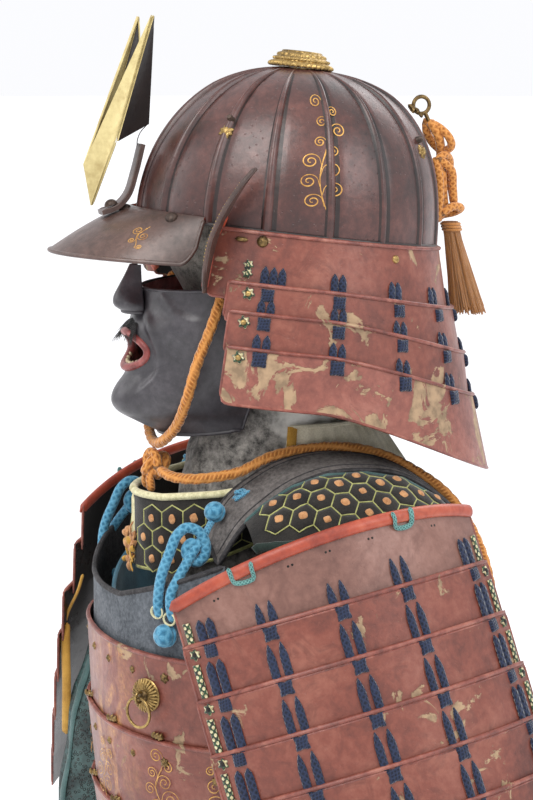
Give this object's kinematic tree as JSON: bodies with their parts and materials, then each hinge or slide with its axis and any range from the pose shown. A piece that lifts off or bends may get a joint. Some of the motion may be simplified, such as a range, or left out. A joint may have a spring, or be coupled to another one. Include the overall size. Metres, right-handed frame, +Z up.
{
  "type": "samurai armour on a display stand",
  "caption": "Laced plate armour with crested helmet, half mask, cuirass, shoulder guards, sleeves and tassets, worn by a limbless form on a wooden stand.",
  "frame": {"origin": "centre of the stand's underside, on the floor", "axes": "+Z up, the armour faces -Y, the wearer's left is +X"},
  "size_m": [0.625, 0.3926, 1.2022],
  "materials": {
    "russet_lacquer": "red-brown lacquer, worn satin",
    "dark_lacquer": "dark russet lacquer, low gloss",
    "gilt": "worn gilding",
    "mask_lacquer": "grey-black lacquer, satin",
    "orange_cord": "plaited silk, matt",
    "blue_leather": "grained, blue-grey, dull",
    "grey_leather": "grained, speckled, dull",
    "blue_cord": "plaited silk, matt",
    "brigandine": "black hexagon plates stitched between cloth",
    "mail": "dark mail on blue-green cloth",
    "pale_cloth": "pleated linen, matt",
    "form_cloth": "off-white and grey cloth, matt",
    "stand_wood": "dark stained wood"
  },
  "bodies": {
    "armour": {"helmet_bowl": "dark_lacquer", "helmet_finial": "gilt", "helmet_visor": "dark_lacquer", "crest_holder": "dark_lacquer", "crest": "gilt", "neck_guard_1": "russet_lacquer", "neck_guard_2": "russet_lacquer", "neck_guard_3": "russet_lacquer", "neck_guard_4": "russet_lacquer", "rear_ring": "gilt", "tassel_cord": "orange_cord", "tassel": "orange_cord", "mask": "mask_lacquer", "mask_nose": "mask_lacquer", "chin_cord": "orange_cord", "chin_knot": "orange_cord", "cord_tail": "orange_cord", "stand_base": "stand_wood", "display_form": "form_cloth", "front_lame_1": "russet_lacquer", "front_lame_2": "russet_lacquer", "front_lame_3": "russet_lacquer", "front_lame_4": "russet_lacquer", "back_lames": "russet_lacquer", "chest_plate": "blue_leather", "back_plate": "blue_leather", "chest_lining": "blue_cord", "standing_collar": "brigandine", "nape_collar": "pale_cloth", "strap_left": "grey_leather", "pad_left": "brigandine", "tie_left": "blue_cord", "sleeve_left": "mail", "shoulder_guard_left_1": "russet_lacquer", "shoulder_guard_left_2": "russet_lacquer", "shoulder_guard_left_3": "russet_lacquer", "shoulder_guard_left_4": "russet_lacquer", "shoulder_guard_left_5": "russet_lacquer", "shoulder_guard_left_6": "russet_lacquer", "shoulder_guard_left_7": "russet_lacquer", "strap_right": "grey_leather", "pad_right": "brigandine", "tie_right": "blue_cord", "sleeve_right": "mail", "shoulder_guard_right_1": "russet_lacquer", "shoulder_guard_right_2": "russet_lacquer", "shoulder_guard_right_3": "russet_lacquer", "shoulder_guard_right_4": "russet_lacquer", "shoulder_guard_right_5": "russet_lacquer", "shoulder_guard_right_6": "russet_lacquer", "shoulder_guard_right_7": "russet_lacquer", "tasset_1": "russet_lacquer", "tasset_2": "russet_lacquer", "tasset_3": "russet_lacquer", "tasset_4": "russet_lacquer", "tasset_5": "russet_lacquer", "tasset_6": "russet_lacquer", "tasset_7": "russet_lacquer", "ring_mount": "gilt"},
    "breast_ring": {"breast_ring": "gilt"}
  },
  "joints": [
    {"name": "breast_ring_swing", "type": "hinge", "parent": "armour", "child": "breast_ring", "pos_m": [0.10146, -0.15398, 0.672], "axis": [-0.8264, -0.5631, 0], "range_deg": [0, 120]}
  ]
}
